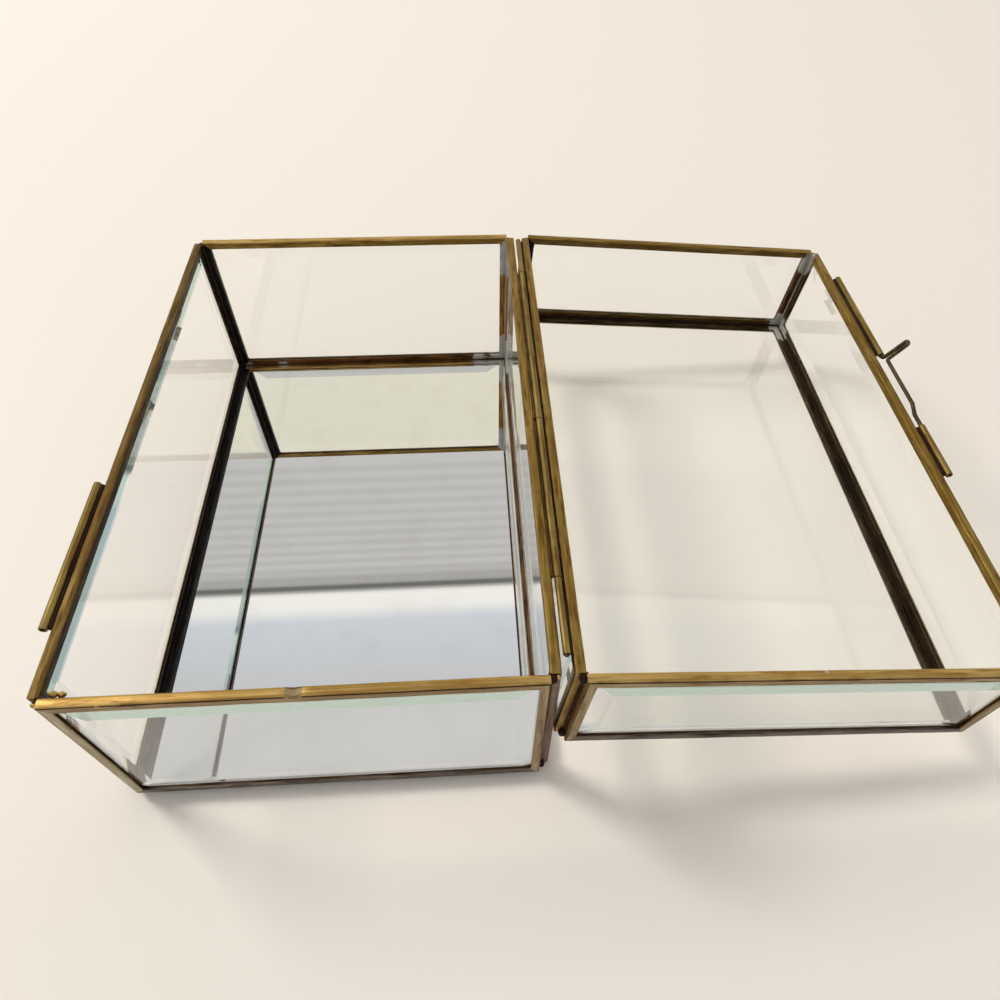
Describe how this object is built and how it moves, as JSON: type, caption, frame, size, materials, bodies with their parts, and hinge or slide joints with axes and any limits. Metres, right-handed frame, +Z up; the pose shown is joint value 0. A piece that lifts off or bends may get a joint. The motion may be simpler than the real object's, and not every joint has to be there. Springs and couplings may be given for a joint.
{
  "type": "glass casket box",
  "caption": "Rectangular casket of bevelled clear panes in folded brass channel, with a mirror floor, a hinged glass lid turned fully open and a sliding wire bolt.",
  "frame": {"origin": "centre of the base's underside, on the surface it stands on", "axes": "+X across the box towards the hinge and the open lid, +Y along the hinge towards the back, +Z up"},
  "size_m": [0.3207, 0.234, 0.0805],
  "materials": {
    "channel_brass": "aged, with brown and black patina inside",
    "tube_brass": "aged, dull olive",
    "wire": "dark drawn wire",
    "solder": "dull grey solder",
    "clear_glass": "clear, ground bevels",
    "floor_mirror": "silvered glass"
  },
  "bodies": {
    "base": {"base_near_frame": "channel_brass", "base_near_glass": "clear_glass", "base_far_frame": "channel_brass", "base_far_glass": "clear_glass", "base_latch_frame": "channel_brass", "base_latch_glass": "clear_glass", "base_hinge_frame": "channel_brass", "base_hinge_glass": "clear_glass", "floor_frame": "channel_brass", "floor_mirror": "floor_mirror", "base_corner_solder": "solder", "floor_solder": "solder", "base_hinge_tube_near": "tube_brass", "base_hinge_tube_far": "tube_brass", "hinge_pin": "wire", "catch_tube": "tube_brass"},
    "lid": {"lid_near_frame": "channel_brass", "lid_near_glass": "clear_glass", "lid_far_frame": "channel_brass", "lid_far_glass": "clear_glass", "lid_latch_frame": "channel_brass", "lid_latch_glass": "clear_glass", "lid_hinge_frame": "channel_brass", "lid_hinge_glass": "clear_glass", "lid_top_frame": "channel_brass", "lid_top_glass": "clear_glass", "lid_corner_solder": "solder", "lid_top_solder": "solder", "lid_hinge_tube_near": "tube_brass", "lid_hinge_tube_far": "tube_brass", "latch_tube_long": "tube_brass", "latch_tube_short": "tube_brass"},
    "latch_bolt": {"latch_bolt": "wire"}
  },
  "joints": [
    {"name": "lid_hinge", "type": "hinge", "parent": "base", "child": "lid", "pos_m": [0.07795, 0, 0.07915], "axis": [0, -1, 0], "range_deg": [0, 184.51]},
    {"name": "bolt_slide", "type": "slide", "parent": "lid", "child": "latch_bolt", "axis": [0, -1, 0], "range_m": [0, 0.006]}
  ]
}
